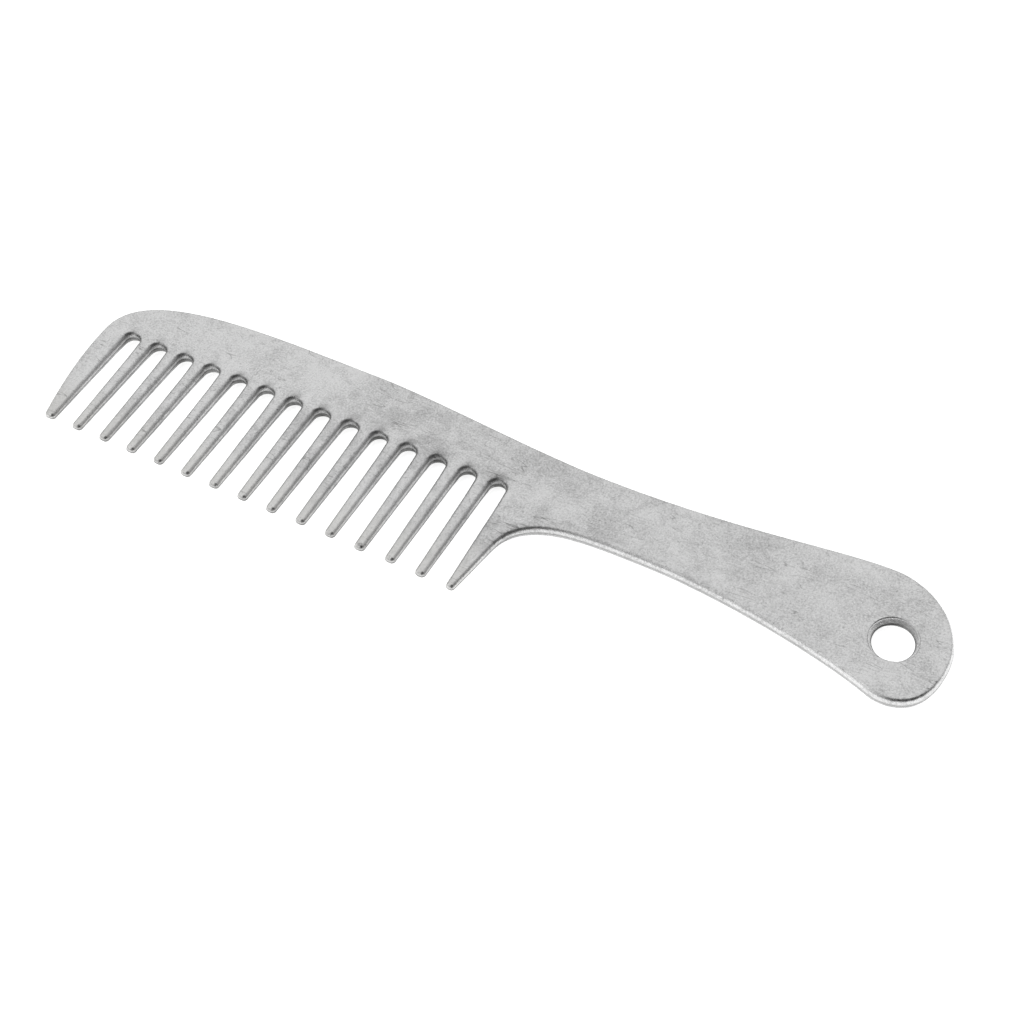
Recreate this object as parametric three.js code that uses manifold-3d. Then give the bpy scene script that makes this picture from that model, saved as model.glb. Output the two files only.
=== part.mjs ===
// A cast aluminium mane comb: one flat casting with a straight row of tapered teeth, a spine,
// a waisted handle and a hanging hole. Millimetres, +X towards the handle end, +Z up.
// The comb is drawn lying flat: x = 0 is the middle of the first slot, y = 0 is the line of
// the tooth tips and z = 0 is the parting plane where the two halves of the die meet.
import * as THREE from 'three';
import { mergeVertices } from 'three/addons/utils/BufferGeometryUtils.js';
import Module from 'manifold-3d';

const wasm = await Module();
wasm.setup();

// Teeth: one fewer slots than teeth, all cut to the same pitch and the same depth.
const SLOT_COUNT = 14;
const PITCH = 7.8;
const SLOT_DEPTH = 29.6;
const TOOTH_ROOT_WIDTH = 4.0;
const TOOTH_TIP_WIDTH = 2.7;
const TIP_THICKNESS = 2.2;
const FULL_THICKNESS_BELOW_ROOT = 5.5;

// Guard teeth, the broader ones at the two ends of the row.
const TOE_GUARD_ROOT_WIDTH = 6.3;
const TOE_GUARD_TIP_WIDTH = 3.0;
const HEEL_GUARD_TIP_WIDTH = 2.3;

// Section: a narrow flat land at the parting plane, rounded over to the flat faces. The corners of
// the tooth tips are rounded too, by this much on the flat face and by more at the parting plane,
// with at least this much left flat between them on the flat face.
const THICKNESS = 3.4;
const PARTING_LAND = 0.3;
const EDGE_ROUND = 0.85;
const EDGE_FACETS = 3;
const TIP_FACE_RADIUS = 0.15;
const TIP_FACE_FLAT = 0.02;

// Spine, measured along x from the first slot and up from the slot roots.
const CREST_FROM_TOE_SLOT = 61.8;
const CREST_HEIGHT = 14.8;

// Handle, measured along x from the last slot and up or down from the slot roots.
const HANDLE_LENGTH = 105.5;
const NECK_BACK_FROM_SLOT = 19.4;
const NECK_BACK_HEIGHT = 11.3;
const NECK_UNDERSIDE_FROM_SLOT = 39.2;
const NECK_UNDERSIDE_DROP = 5.3;
const FINGER_FOOT_WIDTH = 5.5;
const FINGER_FOOT_DROP = 15.2;

// Handle end, measured back from its outermost point and up or down from the slot roots.
const END_DROP = 1.1;
const END_TOP_SETBACK = 18.7;
const END_TOP_HEIGHT = 16.7;
const END_BOTTOM_SETBACK = 13.1;
const END_BOTTOM_DROP = 13.7;

// How the outer curve passes each of its points: its heading in degrees, and how far its tangent
// reaches before and after the point. A longer reach makes a flatter, slower curve.
const TOE_TIP_RUN = { heading: 102.9, before: 0, after: 5.2 };
const TOE_ROOT_RUN = { heading: 81.4, before: 9.9, after: 16.2 };
const CREST_RUN = { heading: 0, before: 33.6, after: 15.4 };
const NECK_BACK_RUN = { heading: 0, before: 16.9, after: 34.2 };
const END_TOP_RUN = { heading: 0, before: 13.2, after: 10.0 };
const END_RUN = { heading: -90, before: 9.6, after: 13.6 };
const END_BOTTOM_RUN = { heading: 160.8, before: 4.5, after: 14.4 };
const NECK_UNDERSIDE_RUN = { heading: 180, before: 15.9, after: 17.1 };
const FINGER_FOOT_RUN = { heading: -106.3, before: 10.1, after: 1.1 };
const HEEL_TIP_RUN = { heading: -101.2, before: 4.3, after: 0 };

// Hanging hole: drafted from both faces down to a waist at the parting plane.
const HOLE_SETBACK = 12.5;
const HOLE_DROP = 0.1;
const HOLE_WAIST_DIAMETER = 8.9;
const HOLE_MOUTH_DIAMETER = 11.2;
const HOLE_FACETS = 48;

// Facets on the curves: their greatest length on the outer curve, and how many on each small arc.
const OUTER_FACET = 3.2;
const ROOT_ARC_FACETS = 8;
const TIP_ARC_FACETS = 4;

const slotRow = PITCH * (SLOT_COUNT - 1);
const handleEnd = slotRow + HANDLE_LENGTH;
const rootRadius = (PITCH - TOOTH_ROOT_WIDTH) / 2;
const tipHalfGap = (PITCH - TOOTH_TIP_WIDTH) / 2;
const toeSide = -rootRadius - TOE_GUARD_ROOT_WIDTH;
const toeGuardTip = -tipHalfGap - TOE_GUARD_TIP_WIDTH;
const heelGuardTip = slotRow + tipHalfGap + HEEL_GUARD_TIP_WIDTH;

// The edge rounding gives way where the narrowest tooth tip has no room for it: drawn in by that
// much, the facets of a tip's two corners must still not cross on the flat face.
const narrowestTip = Math.min(TOOTH_TIP_WIDTH, TOE_GUARD_TIP_WIDTH, HEEL_GUARD_TIP_WIDTH);
const halfFacetTurn = THREE.MathUtils.degToRad(90 / TIP_ARC_FACETS) / 2;
const roomPerRound = 1 / Math.cos(halfFacetTurn) + Math.tan(halfFacetTurn / 2);
const edgeRound = Math.min(EDGE_ROUND, (narrowestTip / 2 - TIP_FACE_FLAT) / roomPerRound);

// One point of the outer curve, with the two points that its tangent reaches.
function knot(x, y, run) {
  const angle = THREE.MathUtils.degToRad(run.heading);
  const along = new THREE.Vector2(Math.cos(angle), Math.sin(angle));
  const at = new THREE.Vector2(x, y);
  return {
    at,
    before: at.clone().addScaledVector(along, -run.before),
    after: at.clone().addScaledVector(along, run.after),
  };
}

// The outer curve, from the side of the toe guard's tip round the back and the handle to the side
// of the heel guard's tip.
function outerCurve(toeTip, heelTip) {
  const roots = SLOT_DEPTH;
  const finger = slotRow + rootRadius + FINGER_FOOT_WIDTH;
  const knots = [
    knot(toeTip.x, toeTip.y, TOE_TIP_RUN),
    knot(toeSide, roots, TOE_ROOT_RUN),
    knot(CREST_FROM_TOE_SLOT, roots + CREST_HEIGHT, CREST_RUN),
    knot(slotRow + NECK_BACK_FROM_SLOT, roots + NECK_BACK_HEIGHT, NECK_BACK_RUN),
    knot(handleEnd - END_TOP_SETBACK, roots + END_TOP_HEIGHT, END_TOP_RUN),
    knot(handleEnd, roots - END_DROP, END_RUN),
    knot(handleEnd - END_BOTTOM_SETBACK, roots - END_BOTTOM_DROP, END_BOTTOM_RUN),
    knot(slotRow + NECK_UNDERSIDE_FROM_SLOT, roots - NECK_UNDERSIDE_DROP, NECK_UNDERSIDE_RUN),
    knot(finger, roots - FINGER_FOOT_DROP, FINGER_FOOT_RUN),
    knot(heelTip.x, heelTip.y, HEEL_TIP_RUN),
  ];
  return knots.slice(1).flatMap((next, i) => {
    const last = knots[i];
    const curve = new THREE.CubicBezierCurve(last.at, last.after, next.before, next.at);
    return curve.getSpacedPoints(Math.ceil(curve.getLength() / OUTER_FACET)).slice(i ? 1 : 0);
  });
}

function arc(x, y, radius, fromDegrees, toDegrees, facets) {
  const [from, to] = [fromDegrees, toDegrees].map(THREE.MathUtils.degToRad);
  return new THREE.EllipseCurve(x, y, radius, radius, from, to, to < from).getPoints(facets);
}

// The corner radius of a tooth tip. Across a narrow tooth it gives way, because rounding the edge
// shortens the flat between the corners at each end.
function cornerRadius(width) {
  const room = width / 2 - edgeRound * Math.tan(halfFacetTurn / 2) - TIP_FACE_FLAT / 2;
  return Math.min(edgeRound + TIP_FACE_RADIUS, room);
}

// The blunt tip of a tooth that spans left to right, followed from its right side to its left. A
// side that leans outwards, by so many degrees, leaves the corner arc where it is tangent to it.
function toothTip(left, right, leftLean = 0, rightLean = 0) {
  const r = cornerRadius(right - left);
  return [
    ...arc(right - r, r, r, 360 - rightLean, 270, TIP_ARC_FACETS),
    ...arc(left + r, r, r, 270, 180 + leftLean, TIP_ARC_FACETS),
  ];
}

// The round root of a slot, followed from its right side to its left.
function slotRoot(x) {
  return arc(x, SLOT_DEPTH - rootRadius, rootRadius, 0, 180, ROOT_ARC_FACETS);
}

function combOutline() {
  const toeTip = toothTip(toeGuardTip, -tipHalfGap, TOE_TIP_RUN.heading - 90, 0);
  const heelTip = toothTip(slotRow + tipHalfGap, heelGuardTip, 0, -90 - HEEL_TIP_RUN.heading);
  const points = outerCurve(toeTip.at(-1), heelTip[0]);
  points.push(...heelTip.slice(1));
  for (let slot = SLOT_COUNT - 1; slot > 0; slot -= 1) {
    const x = slot * PITCH;
    points.push(...slotRoot(x), ...toothTip(x - PITCH + tipHalfGap, x - tipHalfGap));
  }
  points.push(...slotRoot(0), ...toeTip.slice(0, -1));
  return new THREE.Shape(points);
}

function toSolid(geometry) {
  geometry.deleteAttribute('normal');
  geometry.deleteAttribute('uv');
  const merged = mergeVertices(geometry, 1e-5);
  const mesh = new wasm.Mesh({
    numProp: 3,
    vertProperties: new Float32Array(merged.attributes.position.array),
    triVerts: new Uint32Array(merged.index.array),
  });
  return new wasm.Manifold(mesh);
}

function toGeometry(solid) {
  const mesh = solid.getMesh();
  const geometry = new THREE.BufferGeometry();
  geometry.setAttribute('position', new THREE.BufferAttribute(mesh.vertProperties, 3));
  geometry.setIndex(new THREE.BufferAttribute(mesh.triVerts, 1));
  return geometry;
}

function plate() {
  const geometry = new THREE.ExtrudeGeometry(combOutline(), {
    depth: PARTING_LAND,
    bevelThickness: (THICKNESS - PARTING_LAND) / 2,
    bevelSize: edgeRound,
    bevelOffset: -edgeRound,
    bevelSegments: EDGE_FACETS,
  });
  geometry.translate(0, 0, -PARTING_LAND / 2);
  return toSolid(geometry);
}

// The block of space that holds the free length of the teeth, from the tips to where they thin.
function toothSpace(taperStart) {
  const left = toeSide - PITCH;
  const right = slotRow + NECK_UNDERSIDE_FROM_SLOT;
  const box = new THREE.BoxGeometry(right - left, 2 * taperStart, 2 * THICKNESS);
  box.translate((left + right) / 2, 0, 0);
  return toSolid(box);
}

// Thins the teeth evenly towards their tips, on both faces alike.
function taperTeeth(solid) {
  const taperStart = SLOT_DEPTH - FULL_THICKNESS_BELOW_ROOT;
  const space = toothSpace(taperStart);
  const teeth = toGeometry(solid.intersect(space));
  const position = teeth.attributes.position;
  for (let i = 0; i < position.count; i += 1) {
    const share = THREE.MathUtils.mapLinear(position.getY(i), 0, taperStart, TIP_THICKNESS / THICKNESS, 1);
    position.setZ(i, position.getZ(i) * share);
  }
  return solid.subtract(space).add(toSolid(teeth));
}

// A cutter that narrows from each face to the waist of the hanging hole.
function holeCutter() {
  const waist = HOLE_WAIST_DIAMETER / 2;
  const draft = (HOLE_MOUTH_DIAMETER - HOLE_WAIST_DIAMETER) / (THICKNESS - PARTING_LAND);
  const land = PARTING_LAND / 2;
  const mouth = waist + draft * (THICKNESS - land);
  const half = [[waist, land], [mouth, THICKNESS], [0, THICKNESS]];
  const otherHalf = half.map(([r, z]) => [r, -z]).reverse();
  const profile = [...otherHalf, ...half].map(([r, z]) => new THREE.Vector2(r, z));
  const cutter = new THREE.LatheGeometry(profile, HOLE_FACETS);
  cutter.rotateX(Math.PI / 2);
  cutter.translate(handleEnd - HOLE_SETBACK, SLOT_DEPTH - HOLE_DROP, 0);
  return toSolid(cutter);
}

const castAluminium = new THREE.MeshStandardMaterial({
  name: 'tumbled_cast_aluminium',
  color: 0xc4c4c2,
  roughness: 0.42,
  metalness: 1,
});

// Stands the casting with the middle of its underside on the origin.
function casting() {
  const geometry = toGeometry(taperTeeth(plate()).subtract(holeCutter()));
  geometry.computeBoundingBox();
  const { min, max } = geometry.boundingBox;
  geometry.computeVertexNormals();
  const mesh = new THREE.Mesh(geometry, castAluminium);
  mesh.name = 'comb_casting';
  mesh.position.set(-(min.x + max.x) / 2, -(min.y + max.y) / 2, -min.z);
  return mesh;
}

const comb = new THREE.Group();
comb.name = 'mane_comb';
comb.add(casting());

export default comb;
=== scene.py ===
import math
from typing import NamedTuple

import bpy
import numpy as np
from mathutils import Matrix, Vector
from mathutils.geometry import delaunay_2d_cdt


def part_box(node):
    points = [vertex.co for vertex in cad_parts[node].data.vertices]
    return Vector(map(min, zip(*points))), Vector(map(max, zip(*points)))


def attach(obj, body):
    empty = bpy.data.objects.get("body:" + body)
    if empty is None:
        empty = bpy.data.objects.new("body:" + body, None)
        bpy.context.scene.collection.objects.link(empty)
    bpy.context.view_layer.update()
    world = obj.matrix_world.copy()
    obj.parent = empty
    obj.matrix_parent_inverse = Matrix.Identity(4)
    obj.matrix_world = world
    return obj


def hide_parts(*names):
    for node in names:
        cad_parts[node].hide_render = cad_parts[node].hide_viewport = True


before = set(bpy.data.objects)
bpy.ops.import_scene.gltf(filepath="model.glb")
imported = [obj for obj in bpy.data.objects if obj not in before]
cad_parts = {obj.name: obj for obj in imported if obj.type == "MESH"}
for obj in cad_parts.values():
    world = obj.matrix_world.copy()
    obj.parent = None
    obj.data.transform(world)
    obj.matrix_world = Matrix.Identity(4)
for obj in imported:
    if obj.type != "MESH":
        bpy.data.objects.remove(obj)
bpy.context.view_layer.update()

bl_info = {
    "name": "Cast mane comb",
    "version": (1, 0, 0),
    "blender": (4, 5, 0),
    "location": "3D View > Sidebar > Mane comb",
    "description": "Makes a one-piece cast aluminium mane comb and a studio to show it in",
    "category": "Add Mesh",
}

MM = 0.001
CASTING_LOW, CASTING_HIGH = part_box("comb_casting")


def length(name, description, millimetres):
    """A length property whose default is given in millimetres."""
    return bpy.props.FloatProperty(
        name=name, description=description, default=millimetres * MM, unit="LENGTH", precision=5)


def count(name, description, default):
    """A whole number of repeated things, at least two of them."""
    return bpy.props.IntProperty(name=name, description=description, default=default, min=2)


def angle(name, description, degrees):
    """An angle property whose default is given in degrees."""
    return bpy.props.FloatProperty(
        name=name, description=description, default=math.radians(degrees), subtype="ANGLE")


def share(name, description, default):
    """A number from 0 to 1."""
    return bpy.props.FloatProperty(
        name=name, description=description, default=default, min=0.0, max=1.0, subtype="FACTOR")


def tint(name, description, default):
    """A colour as red, green and blue."""
    return bpy.props.FloatVectorProperty(
        name=name, description=description, default=default, size=3, min=0.0, max=1.0, subtype="COLOR")


class CombSizes(bpy.types.PropertyGroup):
    """Sizes of the casting that its box doesn't give."""

    slots: count("Slots", "Slots between the teeth", 14)
    pitch: length("Pitch", "Distance from one slot to the next", 7.8)
    slot_depth: length("Slot depth", "From the tooth tips to the slot roots", 29.6)
    root_width: length("Tooth root width", "Width of a tooth where the slot root begins", 4.0)
    tip_width: length("Tooth tip width", "Width of a tooth at its tip", 2.7)
    tip_thickness: length("Tip thickness", "Thickness of a tooth at its tip", 2.2)
    full_below_root: length("Full thickness", "How far below the roots the teeth start to thin", 5.5)
    tip_corner: length("Tip corner radius", "Radius of the two corners of a tooth tip", 1.05)
    toe_root_width: length("Toe guard root", "Width of the toe guard at the slot roots", 6.3)
    toe_tip_width: length("Toe guard tip", "Width of the toe guard at its tip", 3.0)
    heel_tip_width: length("Heel guard tip", "Width of the heel guard at its tip", 2.3)
    crest_from_toe: length("Crest place", "From the first slot to the highest point of the spine", 61.8)
    crest_height: length("Crest height", "Highest point of the spine above the slot roots", 14.8)
    handle: length("Handle", "From the last slot to the end of the handle", 105.5)
    neck_back_place: length("Neck back place", "From the last slot to the hollow of the back", 19.4)
    neck_back_height: length("Neck back height", "Hollow of the back above the slot roots", 11.3)
    neck_under_place: length("Neck underside place", "From the last slot to the finger hollow", 39.2)
    neck_under_drop: length("Neck underside drop", "Finger hollow below the slot roots", 5.3)
    finger_width: length("Finger foot width", "From the last slot's side to the foot of the hollow", 5.5)
    finger_drop: length("Finger foot drop", "Foot of the finger hollow below the slot roots", 15.2)
    end_drop: length("End drop", "Outermost point of the handle below the slot roots", 1.1)
    end_top_setback: length("End top setback", "Highest point of the handle end, from its tip", 18.7)
    end_bottom_setback: length("End bottom setback", "Lower turn of the handle end, from its tip", 13.1)
    end_bottom_drop: length("End bottom drop", "Lower turn of the end below the slot roots", 13.7)
    hole_setback: length("Hole setback", "Hole centre, from the tip of the handle", 12.5)
    hole_drop: length("Hole drop", "Hole centre below the slot roots", 0.1)
    hole_waist: length("Hole waist", "Diameter of the hole at the parting plane", 8.9)
    hole_mouth: length("Hole mouth", "Diameter of the hole at each face", 11.2)
    edge_round: length("Edge round", "How far the rounded edge reaches in from the outline", 1.05)
    edge_square: share("Edge squareness", "0 for an elliptical edge, 1 for a square one", 0.05)
    face_margin: length("Face margin", "Flat margin of the face next to the rounded edge", 0.1)
    ridge_height: length("Ridge height", "How far the parting ridge stands out", 0.08)
    ridge_width: length("Ridge width", "Width of the parting ridge", 0.3)
    unevenness: length("Unevenness", "Wander of the tumbled edges", 0.03)
    tip_wear: length("Tip wear", "Most that a worn tooth is shorter than its neighbours", 0.35)
    slot_lean: angle("Slot lean", "Lean of the slots towards the handle", 0.43)
    tooth_crown: share("Tooth crown", "Fall of the teeth's faces at their sides", 0.30)
    dimple: length("Dimple", "Radius of the dimple above each tip", 0.13)


class AluminiumLook(bpy.types.PropertyGroup):
    """Colours and finish of the tumbled casting."""

    skin: tint("Skin", "Colour of the bare metal", (0.76, 0.76, 0.76))
    # The stain colour also paints shade on the walls, besides the mottling.
    stain_and_shade: tint("Stain", "Colour of the darker mottling", (0.40, 0.40, 0.40))
    warm: tint("Warm tint", "Colour of the worn tooth tips", (0.72, 0.715, 0.695))
    # The grime colour also paints shade into the slot ends, slot walls, hole and dimples, besides dark
    # scratches and pits.
    shade_and_grime: tint("Grime", "Colour of the soiled walls of the slots", (0.10, 0.10, 0.098))
    roughness: share("Roughness", "Roughness of the clean skin", 0.28)


class StudioSetup(bpy.types.PropertyGroup):
    """The camera's place and the strength of the light."""

    azimuth: angle("Azimuth", "Camera's bearing round the comb, 0 looks along +Y", 33.827)
    elevation: angle("Elevation", "Camera's height above the horizon", 53.310)
    roll: angle("Roll", "Turn of the camera about its own axis", -6.100)
    distance: length("Distance", "From the camera to the point it looks at", 392.85)
    aim_x: length("Aim along", "Point looked at, along the comb", 8.21)
    aim_y: length("Aim across", "Point looked at, across the comb", 1.03)
    lens: bpy.props.FloatProperty(name="Lens", description="Focal length", default=62.49, unit="CAMERA")
    room: share("Room light", "Brightness of the pale room", 0.86)


# How the outer curve passes each of its points: heading in degrees, then how far its tangent
# reaches before and after the point, in millimetres.
TOE_TIP_RUN = (102.9, 0.0, 5.2)
TOE_ROOT_RUN = (81.4, 9.9, 16.2)
CREST_RUN = (0.0, 33.6, 15.4)
NECK_BACK_RUN = (0.0, 16.9, 34.2)
END_TOP_RUN = (0.0, 13.2, 10.0)
END_RUN = (-90.0, 9.6, 13.6)
END_BOTTOM_RUN = (160.8, 4.5, 14.4)
NECK_UNDERSIDE_RUN = (180.0, 15.9, 17.1)
FINGER_FOOT_RUN = (-106.3, 10.1, 1.1)
HEEL_TIP_RUN = (-101.2, 4.3, 0.0)

# How finely the outline, the tip corners, the sections and the hole are divided.
OUTLINE_STEP = 0.75 * MM
CORNER_STEP = 0.16 * MM
BEZIER_POINTS = 160
EDGE_STEPS = 10
RIDGE_STEPS = 3
HOLE_STEPS = 144
HOLE_WALL_ROWS = 7
HOLE_LIP_STEPS = 6

# The grid of points inside the two faces: its rows, its columns and how near the rims it comes.
GRID_ROW = 0.9 * MM
COLUMNS_PER_PITCH = 9
GRID_CLEARANCE = 0.45 * MM
JOIN_TOLERANCE = 1e-8
HOLE_RIM_SHARE = 0.998

# The hanging hole: the rounded lip at each face, and the narrow step beside the parting ridge.
HOLE_LIP = 0.35 * MM
HOLE_LIP_RUN = 0.4
HOLE_STEP = 0.1 * MM
HOLE_STEP_HEIGHT = 0.12
HOLE_RIDGE_HEIGHT = 0.05
HOLE_RIDGE_SLOPE = 0.03 * MM

# Dimples: height of their centres above the tip line, and the radii of the rings round them.
DIMPLE_RISE = 1.35 * MM
DIMPLE_RINGS = (0.5, 1.0, 1.5)
DIMPLE_RING_POINTS = 12
DIMPLE_CLEARANCE = 2.2
DIMPLE_DEPTH = 0.5

# Wear of the casting: softer edges on the teeth, and long low waves of its edges and faces.
THINNING_EASE = 0.04
TIP_EDGE_SHARE = 0.78
EDGE_WAVE_LENGTH = 11 * MM
FACE_WAVE_LENGTH = 13 * MM
FACE_WAVE = 0.006
TIP_SEED = 8

# Painted shade and grime on the walls: its strength along a slot, how much more there is near the slot's
# end, how far in from the edge it fades out, and its strength in the hanging hole.
SLOT_WALL_SHADE_AND_GRIME = 0.24
SLOT_END_SHADE_AND_GRIME = 0.30
SHADE_AND_GRIME_FADE = (0.2 * MM, 1.1 * MM)
HOLE_SHADE_AND_GRIME = 0.35

# The patch of painted shade and grime round a slot's end: its reach, how far its middle lies towards the
# toe and below the slot root, its width as a share of its length, and the share of it that is solid. The
# spread and the strength are each a value at the toe and what is added to it at the heel.
PATCH_REACH = 3.0 * MM
PATCH_TOEWARD = 0.55 * MM
PATCH_DROP = 0.3 * MM
PATCH_WIDTH = 0.8
PATCH_CORE = 0.25
PATCH_SPREAD = (0.75, 0.40)
PATCH_STRENGTH = (0.50, 0.20)


class Places(NamedTuple):
    """Places that everything else is measured from: first and last slot, tip line, slot roots."""

    toe: float
    heel: float
    tips: float
    roots: float


def places(sizes):
    """The places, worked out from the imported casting's box and the sizes."""
    heel = CASTING_HIGH.x - sizes.handle
    toe = heel - (sizes.slots - 1) * sizes.pitch
    tips = CASTING_LOW.y
    return Places(toe, heel, tips, tips + sizes.slot_depth)


def thickness():
    """Full thickness of the casting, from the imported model's box."""
    return CASTING_HIGH.z - CASTING_LOW.z


def resampled(points, step):
    """Points spaced evenly along an open line, at about the given step, without its last point."""
    run = np.r_[0.0, np.cumsum(np.hypot(*np.diff(points, axis=0).T))]
    at = np.linspace(0.0, run[-1], max(2, math.ceil(run[-1] / step)) + 1)[:-1]
    return np.c_[np.interp(at, run, points[:, 0]), np.interp(at, run, points[:, 1])]


def arc(x, y, radius, from_degrees, to_degrees, step):
    """Part of a circle: centre plus radius times cosine and sine, the last point left out."""
    turn = np.radians([from_degrees, to_degrees])
    steps = max(3, math.ceil(radius * abs(turn[1] - turn[0]) / step))
    t = np.linspace(turn[0], turn[1], steps + 1)[:-1]
    return np.c_[x + radius * np.cos(t), y + radius * np.sin(t)]


def line(x0, y0, x1, y1, step):
    """A straight line, the last point left out."""
    return resampled(np.array([[x0, y0], [x1, y1]]), step)


def outer_curve(sizes, start, end):
    """Back, handle and finger hollow, from the toe guard's tip to the heel guard's tip.

    Cubic Bezier pieces join ten points. Each piece is the sum of its four control points
    weighted by the cubic Bernstein polynomials.
    """
    toe, heel, _, roots = places(sizes)
    end_x = CASTING_HIGH.x
    root_radius = (sizes.pitch - sizes.root_width) / 2
    knots = np.array([
        (*start, *TOE_TIP_RUN),
        (toe - root_radius - sizes.toe_root_width, roots, *TOE_ROOT_RUN),
        (toe + sizes.crest_from_toe, roots + sizes.crest_height, *CREST_RUN),
        (heel + sizes.neck_back_place, roots + sizes.neck_back_height, *NECK_BACK_RUN),
        (end_x - sizes.end_top_setback, CASTING_HIGH.y, *END_TOP_RUN),
        (end_x, roots - sizes.end_drop, *END_RUN),
        (end_x - sizes.end_bottom_setback, roots - sizes.end_bottom_drop, *END_BOTTOM_RUN),
        (heel + sizes.neck_under_place, roots - sizes.neck_under_drop, *NECK_UNDERSIDE_RUN),
        (heel + root_radius + sizes.finger_width, roots - sizes.finger_drop, *FINGER_FOOT_RUN),
        (*end, *HEEL_TIP_RUN),
    ])
    at = knots[:, :2]
    heading = np.radians(knots[:, 2])
    along = np.c_[np.cos(heading), np.sin(heading)] * MM
    before = at - along * knots[:, 3:4]
    after = at + along * knots[:, 4:5]
    t = np.linspace(0.0, 1.0, BEZIER_POINTS)[None, :, None]
    pieces = ((1 - t) ** 3 * at[:-1, None] + 3 * (1 - t) ** 2 * t * after[:-1, None]
              + 3 * (1 - t) * t ** 2 * before[1:, None] + t ** 3 * at[1:, None])
    points = np.concatenate([pieces[:, :-1].reshape(-1, 2), at[-1:]])
    return resampled(points, OUTLINE_STEP)


def tooth_tip(left, right, tips, corner, left_lean=0.0, right_lean=0.0):
    """Blunt tip from its right side to its left: a corner arc, a flat and a corner arc."""
    return np.concatenate([
        arc(right - corner, tips + corner, corner, 360 - right_lean, 270, CORNER_STEP),
        line(right - corner, tips, left + corner, tips, CORNER_STEP),
        arc(left + corner, tips + corner, corner, 270, 180 + left_lean, CORNER_STEP),
        [[left + corner - corner * math.cos(math.radians(left_lean)),
          tips + corner - corner * math.sin(math.radians(left_lean))]],
    ])


def slot_shift(sizes, y):
    """Shift of the slots towards the handle, in proportion to the height above the tip line."""
    return math.tan(sizes.slot_lean) * np.clip(y - places(sizes).tips, 0.0, sizes.slot_depth)


def slot(x, sizes, tips, roots, right_foot, left_foot):
    """One slot from its right side to its left: flank, half-round root, flank."""
    root = (sizes.pitch - sizes.root_width) / 2
    mouth = (sizes.pitch - sizes.tip_width) / 2
    spring = roots - root
    top = x + slot_shift(sizes, spring)
    return np.concatenate([
        line(x + mouth, right_foot, top + root, spring, OUTLINE_STEP)[1:],
        arc(top, spring, root, 0, 180, OUTLINE_STEP / 2),
        line(top - root, spring, x - mouth, left_foot, OUTLINE_STEP),
    ])


def comb_outline(sizes):
    """The closed outline at the parting plane, clockwise from the heel guard's tip."""
    toe, heel, tips, roots = places(sizes)
    mouth = (sizes.pitch - sizes.tip_width) / 2
    corner = sizes.tip_corner
    short = np.random.default_rng(TIP_SEED).uniform(0.0, 1.0, sizes.slots - 1) * sizes.tip_wear
    heel_tip = tooth_tip(heel + mouth, heel + mouth + sizes.heel_tip_width, tips, corner,
                         0.0, -90 - HEEL_TIP_RUN[0])
    toe_tip = tooth_tip(toe - mouth - sizes.toe_tip_width, toe - mouth, tips, corner,
                        TOE_TIP_RUN[0] - 90, 0.0)
    ends = tips + np.r_[0.0, short, 0.0]
    parts = [heel_tip]
    for number in range(sizes.slots):
        x = heel - sizes.pitch * number
        parts.append(slot(x, sizes, tips, roots, ends[number] + corner, ends[number + 1] + corner))
        if number < sizes.slots - 1:
            parts.append(tooth_tip(x - sizes.pitch + mouth, x - mouth, ends[number + 1], corner))
    parts += [toe_tip[:-1], outer_curve(sizes, toe_tip[-1], heel_tip[0])]
    return np.concatenate(parts)


def outward(points):
    """Unit normals of a closed clockwise line: its chord over two steps, turned a quarter left."""
    chord = np.roll(points, -1, axis=0) - np.roll(points, 1, axis=0)
    chord /= np.hypot(*chord.T)[:, None]
    return np.c_[-chord[:, 1], chord[:, 0]]


def edge_section(sizes):
    """Section of the edge from the upper face to the lower one, as inset and height columns.

    Each half is a superellipse: inset is one minus a power of the cosine, height the same power
    of the sine. A cosine bump at the parting plane stands proud of it as the ridge. Height runs
    from 1 at the upper face to -1 at the lower one.
    """
    power = 1.0 - sizes.edge_square
    t = np.linspace(0.0, math.pi / 2, EDGE_STEPS + 1)
    low = sizes.ridge_width / 2 / (thickness() / 2)
    height = np.maximum(np.sin(t), 0.0) ** power
    height = low + (1.0 - low) * height
    inset = sizes.ridge_height + (sizes.edge_round - sizes.ridge_height) * (1.0 - np.cos(t) ** power)
    s = np.linspace(0.0, 1.0, RIDGE_STEPS + 1)[:-1]
    ridge_height = low * s
    ridge_inset = sizes.ridge_height * (0.5 - 0.5 * np.cos(math.pi * s))
    height = np.r_[ridge_height, height, 1.0]
    inset = np.r_[ridge_inset, inset, sizes.edge_round + sizes.face_margin]
    return np.r_[inset[:0:-1], inset], np.r_[height[:0:-1], -height]


def hole_section(sizes):
    """Section of the hole from face to face, as radius and height columns.

    The radius grows in proportion to the height from the waist to just short of the mouth, and
    a quarter of a circle rounds it into the face. The waist carries the parting ridge.
    """
    lip_share = HOLE_LIP / (thickness() / 2)
    waist, mouth = sizes.hole_waist / 2, sizes.hole_mouth / 2
    wall_height = np.linspace(HOLE_STEP_HEIGHT, 1.0 - lip_share, HOLE_WALL_ROWS)
    draft = mouth - HOLE_LIP * HOLE_LIP_RUN - waist - HOLE_STEP
    wall = waist + HOLE_STEP + draft * wall_height
    t = np.linspace(0.0, math.pi / 2, HOLE_LIP_STEPS + 1)[1:]
    lip_height = 1.0 - lip_share * (1.0 - np.sin(t))
    lip_radius = wall[-1] + HOLE_LIP * (1.0 - np.cos(t))
    height = np.r_[0.0, HOLE_RIDGE_HEIGHT, wall_height, lip_height, 1.0]
    radius = np.r_[waist, waist + HOLE_RIDGE_SLOPE, wall, lip_radius, lip_radius[-1] + sizes.face_margin]
    return np.r_[radius[:0:-1], radius], np.r_[height[:0:-1], -height]


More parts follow.
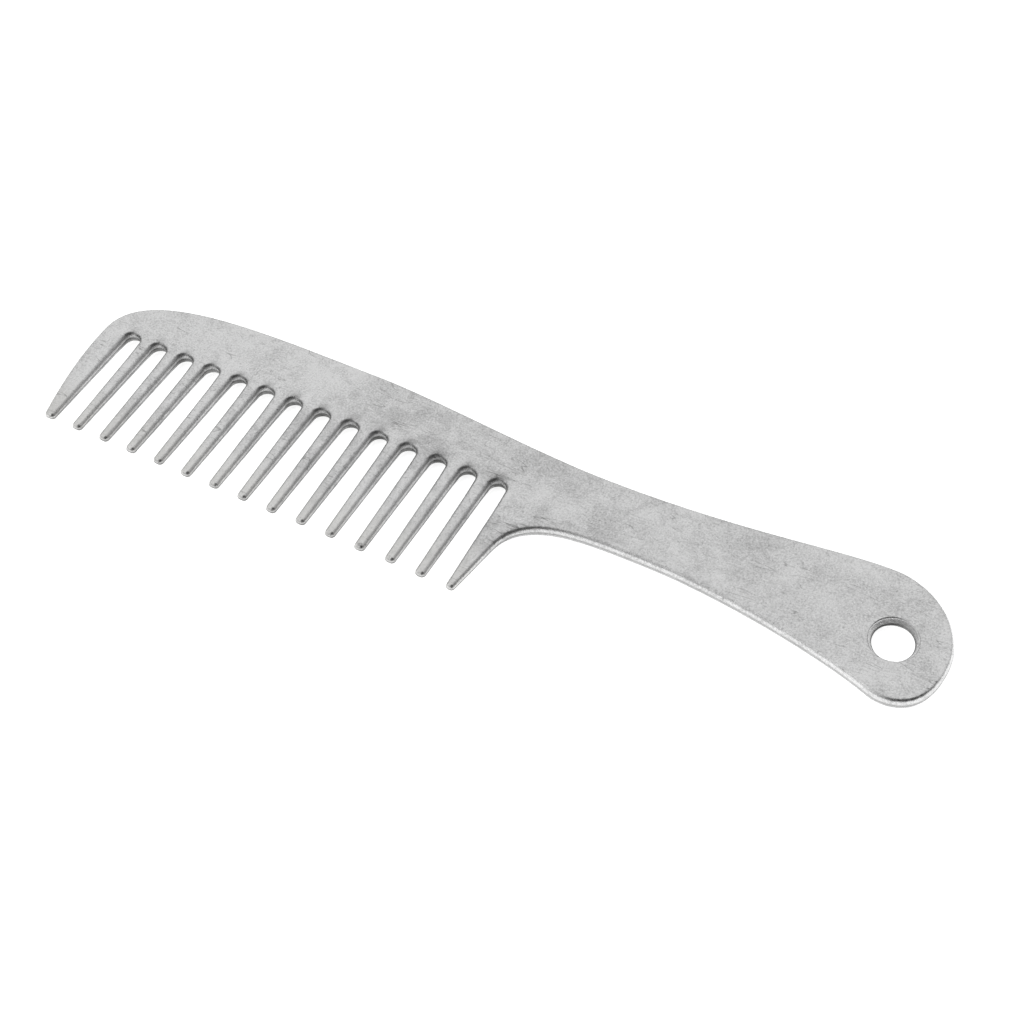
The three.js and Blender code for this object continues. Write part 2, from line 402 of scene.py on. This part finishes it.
def eased(value, start, stop):
    """Smooth step: 3 t squared minus 2 t cubed, with t going from 0 at start to 1 at stop."""
    t = np.clip((value - start) / (stop - start), 0.0, 1.0)
    return t * t * (3.0 - 2.0 * t)


def edge_share(sizes, outline):
    """Share of the edge round at each point: less towards the tooth tips, which are narrow."""
    at = places(sizes)
    x, y = outline.T
    below_roots = 1.0 - eased(y, at.tips + 2 * MM, at.roots)
    before_handle = 1.0 - eased(x, at.heel + 8 * MM, at.heel + 16 * MM)
    return 1.0 - (1.0 - TIP_EDGE_SHARE) * (below_roots * before_handle)


def thickness_share(sizes, x, y):
    """Share of the full thickness: less towards the tooth tips, and all of it on the handle.

    The share grows in proportion to the distance from the tip line. A smooth minimum with 1
    rounds the place where it would reach the full thickness.
    """
    at = places(sizes)
    tip_share = sizes.tip_thickness / thickness()
    gap = (1.0 - tip_share) * (1.0 - (y - at.tips) / (sizes.slot_depth - sizes.full_below_root))
    thinning = (gap + np.sqrt(gap ** 2 + THINNING_EASE ** 2)) / 2
    on_handle = eased(x, at.heel + sizes.finger_width, at.heel + sizes.neck_under_place)
    return 1.0 - thinning * (1.0 - on_handle)


def crown_share(sizes, x, y, inset):
    """Share of the height left by the crown of the teeth, which falls towards their sides.

    It is 1 in the middle and falls with the square of the nearness to the outline. The crown
    fades out from the teeth to the spine.
    """
    at = places(sizes)
    nearness = np.clip(1.0 - inset / (sizes.root_width / 2), 0.0, 1.0)
    below_roots = 1.0 - eased(y, at.roots - 7 * MM, at.roots + 1 * MM)
    before_handle = 1.0 - eased(x, at.heel + 6 * MM, at.heel + 14 * MM)
    return 1.0 - sizes.tooth_crown * (below_roots * before_handle) * nearness ** 2


def wander(x, y, size):
    """A smooth wander between about -1 and 1: the mean of four sines of slanting directions."""
    bearings = np.radians([17.0, 73.0, 128.0, 161.0])
    waves = size * np.array([1.0, 1.31, 0.77, 1.63])
    along = np.multiply.outer(x, np.cos(bearings)) + np.multiply.outer(y, np.sin(bearings))
    return np.sin(2 * math.pi * along / waves + bearings * 9.0).mean(axis=-1)


def distance_to(points, others):
    """Distance from each point to the nearest of the others, worked out in batches of points."""
    return np.concatenate([
        np.min(np.hypot(batch[:, None, 0] - others[:, 0], batch[:, None, 1] - others[:, 1]), axis=1)
        for batch in np.array_split(points, 20)])


def strip_faces(rings, columns, start):
    """Quads of a closed strip: each ring is joined to the next, and the last to the first."""
    ring = np.arange(rings)[:, None]
    column = np.arange(columns - 1)[None, :]
    here = start + ring * columns + column
    there = start + (ring + 1) % rings * columns + column
    return np.stack([here, there, there + 1, here + 1], axis=-1).reshape(-1, 4)


def face_layout(sizes, rim, hole_rim, hole_centre):
    """Points inside one face and the triangles that fill it, as rows of point numbers.

    The points are a grid with a column along the middle of each tooth, and rings round the
    dimple near each tip. Numbers count the rim first, then the hole's rim, then the points.
    """
    low, high = rim.min(axis=0), rim.max(axis=0)
    step = sizes.pitch / COLUMNS_PER_PITCH
    tooth_middle = places(sizes).toe + sizes.pitch / 2
    first = math.floor((low[0] - tooth_middle) / step) - 1
    last = math.ceil((high[0] - tooth_middle) / step) + 1
    columns = tooth_middle + step * np.arange(first, last)
    rows = np.arange(low[1], high[1], GRID_ROW)
    grid = np.stack(np.meshgrid(columns, rows), axis=-1).reshape(-1, 2)
    grid[:, 0] += slot_shift(sizes, grid[:, 1])
    grid = grid[(grid > low).all(axis=1) & (grid < high).all(axis=1)]
    for edge in (rim, hole_rim):
        grid = grid[distance_to(grid, edge) > GRID_CLEARANCE]
    centres = dimple_centres(sizes)
    grid = grid[distance_to(grid, centres) > DIMPLE_CLEARANCE * sizes.dimple]
    turn = np.linspace(0.0, 2 * math.pi, DIMPLE_RING_POINTS + 1)[:-1]
    ring = np.stack([np.cos(turn), np.sin(turn)], axis=-1)
    radii = sizes.dimple * np.array(DIMPLE_RINGS)
    rings = (radii[:, None, None] * ring)[None] + centres[:, None, None]
    inner = np.concatenate([centres, rings.reshape(-1, 2), grid])
    every = np.concatenate([rim, hole_rim, inner])
    rims = len(rim) + len(hole_rim)
    hole_numbers = np.arange(len(rim), rims)
    hole_edges = np.c_[hole_numbers, np.roll(hole_numbers, -1)].tolist()
    rim_loop = list(range(len(rim)))[::-1]
    found = delaunay_2d_cdt(
        [Vector(point) for point in every.tolist()], hole_edges, [rim_loop], 0, JOIN_TOLERANCE, True)
    _, _, found_faces, sources, _, loops_round = found
    source = np.array([numbers[0] for numbers in sources])
    enclosed = np.array([len(loops) > 0 for loops in loops_round])
    triangles = source[np.array(found_faces)[enclosed]]
    middle = every[triangles].mean(axis=1)
    hole_radius = np.hypot(*(hole_rim[0] - hole_centre))
    # A triangle that fills the hole has its middle inside the circle of the hole's rim.
    triangles = triangles[np.hypot(*(middle - hole_centre).T) > hole_radius * HOLE_RIM_SHARE]
    used = np.unique(triangles[triangles >= rims])
    renumbered = np.arange(len(every))
    renumbered[used] = rims + np.arange(len(used))
    return every[used], renumbered[triangles]


def dimple_centres(sizes):
    """One shallow dimple on the face of each tooth, just above its tip."""
    toe, heel, tips, _ = places(sizes)
    mouth = (sizes.pitch - sizes.tip_width) / 2
    teeth = toe + sizes.pitch * (np.arange(sizes.slots - 1) + 0.5)
    toe_guard = toe - mouth - sizes.toe_tip_width * 0.45
    heel_guard = heel + mouth + sizes.heel_tip_width * 0.55
    x = np.r_[toe_guard, teeth, heel_guard]
    return np.c_[x, np.full(len(x), tips + DIMPLE_RISE)]


def slot_end_shade_and_grime(sizes, xy):
    """Painted shade and grime round the end of each slot: it fades with the distance from the slot's apex.

    The patch is an ellipse that reaches further along the slot than across it. It lies a little to
    the toe's side of the slot, and it grows from the toe to the heel.
    """
    toe, _, _, roots = places(sizes)
    x, y = xy[..., 0], xy[..., 1]
    along = (x - slot_shift(sizes, y) - toe) / sizes.pitch
    nearest = np.clip(np.round(along), 0, sizes.slots - 1)
    across = (along - nearest) * sizes.pitch + PATCH_TOEWARD
    growth = np.clip(along / sizes.slots, 0.0, 1.0)
    reach = PATCH_REACH * (PATCH_SPREAD[0] + PATCH_SPREAD[1] * growth)
    off = np.hypot(across / PATCH_WIDTH, y - roots + PATCH_DROP)
    return (PATCH_STRENGTH[0] + PATCH_STRENGTH[1] * growth) * (1.0 - eased(off, PATCH_CORE * reach, reach))


def slot_wall_shade_and_grime(sizes, outline, inset):
    """Painted shade and grime on the walls of the slots: more at their ends, and none past the rounded
    edge.
    """
    toe, heel, _, roots = places(sizes)
    x, y = outline.T
    depth = SLOT_WALL_SHADE_AND_GRIME + SLOT_END_SHADE_AND_GRIME * eased(y, roots - 5 * MM, roots - 1 * MM)
    in_slots = (x > toe - 3 * MM) & (x < heel + 3 * MM) & (y <= roots)
    start, stop = SHADE_AND_GRIME_FADE
    return (depth * in_slots)[:, None] * (1.0 - np.clip((inset - start) / (stop - start), 0.0, 1.0))


def comb_mesh(sizes):
    """Vertices, quads and triangles of the casting, and three attributes of its vertices.

    The edge section is carried along the outline and the hole section round the hole, and the
    two faces are filled with the same triangles, turned over for the lower one.
    """
    half = thickness() / 2
    middle = (CASTING_HIGH.z + CASTING_LOW.z) / 2
    outline = comb_outline(sizes)
    normal = outward(outline)
    inset, height = edge_section(sizes)
    rub = sizes.unevenness * np.abs(wander(outline[:, 0], outline[:, 1], EDGE_WAVE_LENGTH))[:, None]
    reach = inset * edge_share(sizes, outline)[:, None] + rub * (1.0 - np.abs(height) ** 6)
    edge_xy = outline[:, None, :] - normal[:, None, :] * reach[:, :, None]

    radius, hole_height = hole_section(sizes)
    turn = np.linspace(0.0, 2 * math.pi, HOLE_STEPS + 1)[:-1][:, None]
    centre = np.array([CASTING_HIGH.x - sizes.hole_setback, places(sizes).roots - sizes.hole_drop])
    hole_xy = centre + np.stack([radius * np.cos(turn), radius * np.sin(turn)], axis=-1)

    inner, triangles = face_layout(sizes, edge_xy[:, 0], hole_xy[:, 0], centre)

    def heights(xy, share, depth):
        """Height above the parting plane, from the share of the full one and the depth inwards."""
        x, y = xy[..., 0], xy[..., 1]
        wave = 1.0 + FACE_WAVE * wander(x, y, FACE_WAVE_LENGTH)
        return half * share * thickness_share(sizes, x, y) * crown_share(sizes, x, y, depth) * wave

    edge_z = heights(edge_xy, height, inset)
    hole_z = heights(hole_xy, hole_height, 5 * MM)
    inner_z = heights(inner, 1.0, distance_to(inner, outline))
    dimple = 1.0 - eased(distance_to(inner, dimple_centres(sizes)), 0.0, sizes.dimple)
    sunk = inner_z - dimple * sizes.dimple * DIMPLE_DEPTH

    rings, columns = edge_z.shape
    hole_start = rings * columns
    inner_start = hole_start + hole_z.size
    points = np.concatenate([
        np.c_[edge_xy.reshape(-1, 2), edge_z.ravel()],
        np.c_[hole_xy.reshape(-1, 2), hole_z.ravel()],
        np.c_[inner, sunk],
        np.c_[inner, -inner_z],
    ])
    points[:, 2] += middle
    quads = np.concatenate([
        strip_faces(rings, columns, 0),
        strip_faces(HOLE_STEPS, len(radius), hole_start),
    ])
    ring_starts = np.r_[np.arange(rings) * columns, hole_start + np.arange(HOLE_STEPS) * len(radius)]
    last = np.r_[np.full(rings, columns - 1), np.full(HOLE_STEPS, len(radius) - 1)]
    upper = np.r_[ring_starts, inner_start + np.arange(len(inner))]
    lower = np.r_[ring_starts + last, inner_start + len(inner) + np.arange(len(inner))]
    faces = np.concatenate([upper[triangles], lower[triangles][:, ::-1]])
    edge_wall = np.broadcast_to(1.0 - np.abs(height), edge_z.shape).ravel()
    hole_wall = np.broadcast_to(1.0 - np.abs(hole_height), hole_z.shape).ravel()
    # Painted shade, with some grime, darkens the slot walls, the slot ends, the faces round them and the
    # hole's wall.
    wall_shade_and_grime = slot_wall_shade_and_grime(sizes, outline, inset)
    wall_shade_and_grime = np.maximum(wall_shade_and_grime, slot_end_shade_and_grime(sizes, edge_xy))
    face_shade_and_grime = np.tile(slot_end_shade_and_grime(sizes, inner), 2)
    attributes = {
        "wall": np.r_[edge_wall, hole_wall, np.zeros(2 * len(inner))],
        "crevice": np.r_[wall_shade_and_grime.ravel(), HOLE_SHADE_AND_GRIME * hole_wall, face_shade_and_grime],
        # The dimple attribute carries painted shade into each dimple.
        "dimple": np.r_[np.zeros(inner_start), dimple, np.zeros(len(inner))],
    }
    return points, quads, faces, attributes


def make_piece(name, points, quads, triangles, attributes, material):
    """A smooth mesh object at the origin, made from whole arrays."""
    mesh = bpy.data.meshes.new(name)
    loops = np.r_[quads.ravel(), triangles.ravel()].astype(np.int32)
    sizes = np.r_[np.full(len(quads), 4), np.full(len(triangles), 3)].astype(np.int32)
    starts = np.r_[0, np.cumsum(sizes)[:-1]].astype(np.int32)
    mesh.vertices.add(len(points))
    mesh.vertices.foreach_set("co", points.astype(np.float32).ravel())
    mesh.loops.add(len(loops))
    mesh.loops.foreach_set("vertex_index", loops)
    mesh.polygons.add(len(sizes))
    mesh.polygons.foreach_set("loop_start", starts)
    mesh.update(calc_edges=True)
    if mesh.validate():
        raise RuntimeError("the mesh of " + name + " has faults")
    mesh.shade_smooth()
    for key, values in attributes.items():
        attribute = mesh.attributes.new(key, "FLOAT", "POINT")
        attribute.data.foreach_set("value", values.astype(np.float32))
    mesh.materials.append(material)
    piece = bpy.data.objects.new(name, mesh)
    bpy.context.scene.collection.objects.link(piece)
    return piece


class Value:
    """A socket that can be used in sums: arithmetic on it adds Math nodes to its tree."""

    def __init__(self, nodes, socket):
        self.nodes = nodes
        self.socket = socket

    def math(self, operation, *values):
        """A Math node of one operation."""
        return self.nodes.add("ShaderNodeMath", values, operation=operation)

    def __add__(self, other):
        return self.math("ADD", self, other)

    def __radd__(self, other):
        return self.math("ADD", other, self)

    def __sub__(self, other):
        return self.math("SUBTRACT", self, other)

    def __rsub__(self, other):
        return self.math("SUBTRACT", other, self)

    def __mul__(self, other):
        return self.math("MULTIPLY", self, other)

    def __rmul__(self, other):
        return self.math("MULTIPLY", other, self)

    def __abs__(self):
        return self.math("ABSOLUTE", self)

    def between(self, low, high):
        """0 below low, 1 above high and a smooth step in between."""
        return self.nodes.add("ShaderNodeMapRange", {0: self, 1: low, 2: high},
                              interpolation_type="SMOOTHSTEP")


class Nodes:
    """The node tree of a material or a world, filled from code."""

    def __init__(self, owner):
        owner.use_nodes = True
        self.tree = owner.node_tree
        self.tree.nodes.clear()

    def add(self, kind, inputs=(), output=0, **settings):
        """Any node: its settings are set first, then its sockets from values or links."""
        made = self.tree.nodes.new(kind)
        for key, value in settings.items():
            setattr(made, key, value)
        pairs = inputs.items() if isinstance(inputs, dict) else enumerate(inputs)
        for key, value in pairs:
            if isinstance(value, Value):
                self.tree.links.new(value.socket, made.inputs[key])
            else:
                made.inputs[key].default_value = value
        return Value(self, made.outputs[output]) if len(made.outputs) else None

    def noise(self, vector, scale, detail=3.0, roughness=0.55, distortion=0.0):
        """Cloudy noise from 0 to 1, with its scale in cells for each metre."""
        return self.add("ShaderNodeTexNoise", {
            "Vector": vector, "Scale": scale, "Detail": detail, "Roughness": roughness,
            "Distortion": distortion})

    def blend(self, mask, first, second):
        """One colour turning into another as the mask goes from 0 to 1."""
        return self.add("ShaderNodeMix", {0: mask, 6: first, 7: second}, output=2, data_type="RGBA")


def opaque(colour):
    """The colour with full alpha."""
    return (*colour, 1.0)


def cast_aluminium(look, sizes):
    """Tumbled cast aluminium: grainy satin skin, mottling, fine scratches, and painted shade with grime in
    the slot ends, on the walls and in the dimples.
    """
    material = bpy.data.materials.new("tumbled_cast_aluminium")
    nodes = Nodes(material)
    place = nodes.add("ShaderNodeTexCoord", output="Object")

    def coordinate(axis):
        """How far along one axis of the comb."""
        return nodes.add("ShaderNodeSeparateXYZ", [place], output=axis)

    def attribute(name):
        """An attribute of the mesh."""
        return nodes.add("ShaderNodeAttribute", output="Fac", attribute_name=name)

    def scratches(turn, spacing, seed, patch):
        """Fine hairlines: noise stretched along one bearing, cut to its narrow middle, in patches."""
        stretched = nodes.add("ShaderNodeMapping", {
            "Vector": place, "Location": (seed, seed, 0.0), "Rotation": (0.0, 0.0, turn),
            "Scale": (0.12, 1.0, 1.0)})
        lines = nodes.noise(stretched, spacing, detail=1.0)
        hairline = 1.0 - abs(lines - 0.5).between(0.0, 0.012)
        return hairline * nodes.noise(place, patch).between(0.56, 0.64)

    cloud = nodes.noise(place, 55.0, detail=3.0, roughness=0.6)
    blotch = nodes.noise(place, 230.0, detail=7.0, roughness=0.75, distortion=0.8)
    grain = nodes.noise(place, 2300.0, detail=3.0, roughness=0.8)
    mottle = (blotch - 0.5) * 1.3 + (cloud - 0.5) * 1.0 + (grain - 0.5) * 2.1
    # The metal is cleaner towards both ends than round the start of the handle.
    rubbed = abs(coordinate("X") - 30 * MM).between(45 * MM, 100 * MM)
    stained = mottle.between(-0.45, 0.75) - rubbed * 0.16
    cells = nodes.add("ShaderNodeTexVoronoi", {"Vector": place, "Scale": 520.0})
    pits = (1.0 - cells.between(0.08, 0.2)) * nodes.noise(place, 210.0, detail=2.0).between(0.60, 0.68)
    hair = scratches(0.5, 420.0, 0.3, 120.0) + scratches(2.1, 520.0, 1.7, 95.0)
    hair = hair + scratches(1.2, 460.0, 4.1, 140.0)

    # Painted shade and grime on the slot walls and round the slot ends, and painted shade in the stain
    # colour on all the walls; both are stronger below the parting plane as a painted contact shadow.
    tips = places(sizes).tips
    near_tip = 1.0 - coordinate("Y").between(tips + 2 * MM, tips + 16 * MM)
    # Painted contact shadow: 1 below the parting plane, fading out above it.
    lower = 1.0 - coordinate("Z").between(1.4 * MM, 2.4 * MM)
    patchy = nodes.noise(place, 420.0, detail=5.0, roughness=0.7)
    wall, dimple = attribute("wall"), attribute("dimple")
    shaded_and_grimy = attribute("crevice") * (0.65 + lower * 0.75) * (1.0 + (patchy - 0.5) * 1.8)
    # worn is painted shade: the walls darkened in patches, and their lower half more as a painted contact
    # shadow.
    worn = (wall * patchy).between(0.2, 0.75) * 0.4 + wall * lower * 0.8

    colour = nodes.blend(stained, opaque(look.skin), opaque(look.stain_and_shade))
    colour = nodes.blend(near_tip * 0.6, colour, opaque(look.warm))
    colour = nodes.blend(worn, colour, opaque(look.stain_and_shade))
    # Dark hairlines and pits, and painted shade in the dimple above each tip.
    colour = nodes.blend(hair * 0.5 + pits * 0.35 + dimple * 0.35, colour, opaque(look.shade_and_grime))
    # The slot ends, slot walls and hole are darkened towards the grime colour as painted shade with some
    # grime.
    colour = nodes.blend(shaded_and_grimy, colour, opaque(look.shade_and_grime))

    roughness = look.roughness + stained * 0.12 + (grain - 0.5) * 0.25 + shaded_and_grimy * 0.2
    relief = cloud * 0.5 + blotch * 0.35 + grain * 0.30 - hair * 0.08 - pits * 0.3
    bump = nodes.add("ShaderNodeBump", {"Height": relief, "Strength": 0.32, "Distance": 0.0006})
    metal = nodes.add("ShaderNodeBsdfPrincipled", {
        "Base Color": colour, "Metallic": 1.0, "Roughness": roughness, "Normal": bump})
    nodes.add("ShaderNodeOutputMaterial", {"Surface": metal})
    return material


class MANECOMB_OT_casting(bpy.types.Operator):
    """Make the one-piece casting: teeth, spine, handle and hanging hole"""

    bl_idname = "manecomb.casting"
    bl_label = "Casting"

    def execute(self, context):
        sizes = context.scene.comb_sizes
        material = cast_aluminium(context.scene.aluminium_look, sizes)
        piece = make_piece("cast_comb", *comb_mesh(sizes), material)
        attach(piece, "root")
        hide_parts("comb_casting")
        return {"FINISHED"}


def white_card():
    """Matt white card that also glows a little, so that it stays plain in the soft light."""
    material = bpy.data.materials.new("white_card")
    nodes = Nodes(material)
    card = nodes.add("ShaderNodeBsdfPrincipled", {
        "Base Color": (0.9, 0.9, 0.9, 1.0), "Roughness": 0.9, "Specular IOR Level": 0.1,
        "Emission Color": (1.0, 1.0, 1.0, 1.0), "Emission Strength": 0.79})
    nodes.add("ShaderNodeOutputMaterial", {"Surface": card})
    return material


class MANECOMB_OT_studio(bpy.types.Operator):
    """Make the floor, the soft light and the camera"""

    bl_idname = "manecomb.studio"
    bl_label = "Studio"

    def execute(self, context):
        setup = context.scene.comb_studio
        self.add_floor()
        self.add_room(context, setup)
        self.add_camera(context, setup)
        context.scene.view_settings.view_transform = "Standard"
        return {"FINISHED"}

    def add_floor(self):
        """A wide square card at the height of the comb's underside."""
        reach = 4.0
        corners = reach * np.array([[-1, -1, 0], [1, -1, 0], [1, 1, 0], [-1, 1, 0]], float)
        quad, no_triangles = np.array([[0, 1, 2, 3]]), np.zeros((0, 3), int)
        floor = make_piece("floor", corners, quad, no_triangles, {}, white_card())

    def add_room(self, context, setup):
        """A pale room, brightest overhead and dark low down on the camera's side."""
        world = bpy.data.worlds.new("pale_room")
        context.scene.world = world
        nodes = Nodes(world)
        direction = nodes.add("ShaderNodeTexCoord", output="Generated")

        def towards(azimuth, elevation):
            """Cosine of the angle between the direction looked in and this bearing."""
            a, e = math.radians(azimuth), math.radians(elevation)
            bearing = (math.sin(a) * math.cos(e), -math.cos(a) * math.cos(e), math.sin(e))
            return nodes.add("ShaderNodeVectorMath", [direction, bearing], output="Value",
                             operation="DOT_PRODUCT")

        left = towards(-50.0, 20.0).between(0.75, 0.95)
        behind_camera = towards(50.0, 30.0).between(0.45, 0.80)
        skyline = towards(0.0, 90.0).between(0.10, 0.50)
        level = (setup.room * (0.35 + 0.65 * skyline) + left * 0.25) * (1.0 - behind_camera * 0.92)
        background = nodes.add("ShaderNodeBackground", {
            "Color": (1.0, 1.0, 1.0, 1.0), "Strength": level})
        nodes.add("ShaderNodeOutputWorld", {"Surface": background})

    def add_camera(self, context, setup):
        """Camera on a sphere round its aim, turned to face it and rolled about its own axis."""
        a, e, r = setup.azimuth, setup.elevation, setup.roll
        back = Vector((math.sin(a) * math.cos(e), -math.cos(a) * math.cos(e), math.sin(e)))
        level = Vector((math.cos(a), math.sin(a), 0.0))
        upright = back.cross(level)
        right = math.cos(r) * level + math.sin(r) * upright
        up = math.cos(r) * upright - math.sin(r) * level
        aim = Vector((setup.aim_x, setup.aim_y, (CASTING_LOW.z + CASTING_HIGH.z) / 2))
        lens = bpy.data.cameras.new("camera")
        lens.lens = setup.lens
        lens.sensor_width = 36.0
        lens.clip_start, lens.clip_end = 0.01, 20.0
        camera = bpy.data.objects.new("camera", lens)
        turn = Matrix((right, up, back)).transposed().to_4x4()
        camera.matrix_world = Matrix.Translation(aim + back * setup.distance) @ turn
        context.scene.collection.objects.link(camera)
        context.scene.camera = camera


class MANECOMB_PT_panel(bpy.types.Panel):
    """Lists the steps that make the comb"""

    bl_idname = "MANECOMB_PT_panel"
    bl_label = "Mane comb"
    bl_space_type = "VIEW_3D"
    bl_region_type = "UI"
    bl_category = "Mane comb"

    def draw(self, context):
        for operator in OPERATORS:
            self.layout.operator(operator.bl_idname)
        for group in ("comb_sizes", "aluminium_look", "comb_studio"):
            settings = getattr(context.scene, group)
            box = self.layout.box()
            for key in type(settings).__annotations__:
                box.prop(settings, key)


OPERATORS = (MANECOMB_OT_casting, MANECOMB_OT_studio)
GROUPS = {"comb_sizes": CombSizes, "aluminium_look": AluminiumLook, "comb_studio": StudioSetup}


def register():
    for group in GROUPS.values():
        bpy.utils.register_class(group)
    for key, group in GROUPS.items():
        setattr(bpy.types.Scene, key, bpy.props.PointerProperty(type=group))
    for kind in (*OPERATORS, MANECOMB_PT_panel):
        bpy.utils.register_class(kind)


def unregister():
    for kind in (MANECOMB_PT_panel, *OPERATORS):
        bpy.utils.unregister_class(kind)
    for key, group in GROUPS.items():
        delattr(bpy.types.Scene, key)
        bpy.utils.unregister_class(group)


def main():
    register()
    bpy.ops.manecomb.casting()
    bpy.ops.manecomb.studio()


if __name__ == "__main__":
    main()
